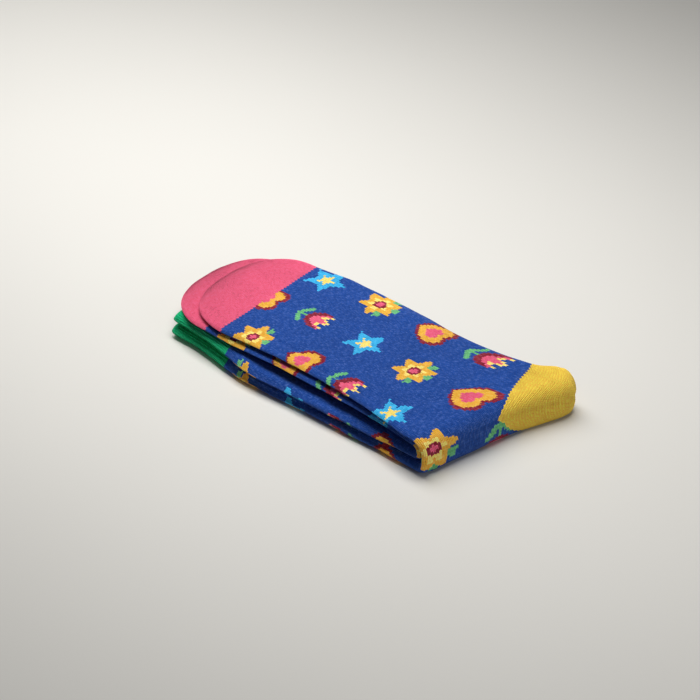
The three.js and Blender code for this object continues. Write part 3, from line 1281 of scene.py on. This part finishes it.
    def cuff(self) -> bpy.types.Object:
        """The ribbed cuff, of doubled knit that turns back at the mouth."""
        girth = np.linspace(0, 2, self.ribs * self.rib_steps + 1)
        inner_rows, lip_rows, outer_rows = self.cuff_rows
        length = -LENGTHS[0]
        inside = np.linspace(0, -length + self.lip, inner_rows)
        turn = np.linspace(0, math.pi, lip_rows)[1:-1]
        lip = -length + self.lip * (1 - np.sin(turn))
        outside = np.linspace(-length + self.lip, 0, outer_rows)
        lengths = np.concatenate([inside, lip, outside])[:, None] + 0 * girth
        inset = np.concatenate(
            [0 * inside + 1, (1 + np.cos(turn)) / 2, 0 * outside]
        )[:, None] * self.cuff_wall
        side = 1 - 2 * inset / self.cuff_wall
        at_seam = np.clip(-lengths / self.rib_fade, 0, 1)
        fade = at_seam * np.clip((lengths + length) / self.rib_fade, self.rib_least, 1)
        ribs = np.cos(girth * math.pi * self.ribs) * self.rib_depth * fade * side
        points = self.lie(lengths, girth, inset, ribs - self.rib_depth * side)
        piece = self.lay(f"{self.sock.name}_cuff_cloth", points, girth, lengths)
        stitch(piece)
        make_active(piece)
        bpy.ops.object.mode_set(mode="EDIT")
        bpy.ops.mesh.select_all(action="DESELECT")
        bpy.ops.mesh.select_non_manifold()
        bpy.ops.mesh.bridge_edge_loops()
        bpy.ops.object.mode_set(mode="OBJECT")
        return piece

    def build(self) -> None:
        cuts = {
            "cuff": (self.cuff, "cuff_rib", (0.175, 0.052), None),
            "body": (self.body, "patterned_knit", (0.190, 0.376), 0.0680),
            "heel": (self.heel, "heel_knit", (0.120, 0.085), 0.0052),
            "toe": (self.toe, "toe_knit", (0.178, 0.042), 0.0062),
        }
        for part, (make, slot, flat, area) in cuts.items():
            piece = make()
            piece.data.materials.clear()
            piece.data.materials.append(self.finishes[slot])
            smooth(piece)
            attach(piece, "root")
            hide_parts(f"{self.sock.name}_{part}")
            LOG.info("%s: %d faces", piece.name, len(piece.data.polygons))


# ---- Surroundings --------------------------------------------------------------------------


@dataclass
class Studio:
    """The camera, the floor and the soft light round the pair.

    Attributes:
        eye: where the camera stands, in the drawing's frame.
        look: the way that it looks.
        lens: its focal length.
        floor_size: width of the floor, in metres.
        glow: strength of the light from all round.
    """

    eye: Triple = (465.0, -619.5, 660.0)
    look: Triple = (-0.5176, 0.6164, -0.5934)
    lens: float = 90.0
    floor_size: float = 6.0
    glow: float = 0.085

    def camera(self, frame: Frame) -> None:
        """Sets up the camera."""
        place = Vector(frame.place(np.array(self.eye)))
        deselect()
        bpy.ops.object.camera_add(location=place)
        camera = bpy.context.active_object
        camera.rotation_euler = Vector(self.look).to_track_quat("-Z", "Y").to_euler()
        camera.data.lens = self.lens
        camera.data.sensor_width = 36.0
        camera.data.clip_start, camera.data.clip_end = 0.05, 20.0
        bpy.context.scene.camera = camera

    def floor(self) -> None:
        """Lays a plain pale floor."""
        deselect()
        bpy.ops.mesh.primitive_plane_add(size=self.floor_size)
        floor = bpy.context.active_object
        floor.name = "floor"
        graph = Graph("pale_floor")
        grain = graph.noise(3.0)
        pale = graph.mix(grain, srgb(217, 216, 213), srgb(223, 222, 219))
        graph.tree.links.new(pale, graph.shader.inputs["Base Color"])
        graph.shader.inputs["Roughness"].default_value = 0.6
        floor.data.materials.append(graph.material)

    def light(
        self,
        name: str,
        place: Triple,
        aim: Triple,
        size: tuple[float, float],
        watts: float,
        spread: float = 180.0,
        tint: Triple = (1.0, 1.0, 1.0),
    ) -> None:
        """Adds one softbox.

        Args:
            name: its name.
            place: where it hangs, in metres.
            aim: the place that it faces.
            size: its width and length, in metres.
            watts: how strong it is.
            spread: how wide its beam is, in degrees.
            tint: its colour.
        """
        deselect()
        bpy.ops.object.light_add(type="AREA", location=place)
        lamp = bpy.context.active_object
        lamp.name = name
        lamp.data.shape = "RECTANGLE"
        lamp.data.size, lamp.data.size_y = size
        lamp.data.spread = math.radians(spread)
        lamp.data.energy = watts
        lamp.data.color = tint
        way = Vector(aim) - Vector(place)
        lamp.rotation_euler = way.to_track_quat("-Z", "Y").to_euler()

    def surround(self) -> None:
        """Sets up the light from all round."""
        world = bpy.data.worlds.new("studio")
        bpy.context.scene.world = world
        world.use_nodes = True
        background = world.node_tree.nodes["Background"]
        background.inputs[0].default_value = (1.0, 0.985, 0.96, 1)
        background.inputs[1].default_value = self.glow

    def build(self, frame: Frame) -> None:
        """Makes everything round the pair."""
        self.camera(frame)
        self.floor()
        self.surround()
        self.light(
            "key", (-0.25, 0.1, 0.68), (-0.21, 0.1, 0), (0.34, 1.0),
            watts=3.9, spread=120.0, tint=(1.0, 0.985, 0.95),
        )
        self.light("side", (0.75, 0.0, 0.36), (0.1, 0.03, 0.01), (0.5, 0.3), watts=0.6)
        self.light("fill", (0.3, -1.0, 0.9), (0, 0, 0), (1.2, 1.2), watts=0.12)
        bpy.context.scene.view_settings.view_transform = "Standard"


def main() -> None:
    """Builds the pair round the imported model."""
    logging.basicConfig(level=logging.INFO, format="%(message)s")
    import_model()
    frame = Frame()
    Studio().build(frame)
    finishes = {
        "cuff_rib": KnitFinish("cuff_rib", Yarn.GREEN, frost=0.12).build(),
        "patterned_knit": PatternedKnit("patterned_knit", Yarn.BLUE).build(),
        "heel_knit": KnitFinish(
            "heel_knit", Yarn.YELLOW, HEEL_STITCHES,
            painted_hollow_shade=1.15, uneven=0.24, nap=0.4, frost=0.05, base=0.35,
        ).build(),
        "toe_knit": KnitFinish("toe_knit", Yarn.PINK, nap=0.5, frost=0.12, base=0.15).build(),
    }
    for sock in (OUTER, INNER):
        SockBuilder(sock, frame, finishes).build()


if __name__ == "__main__":
    main()
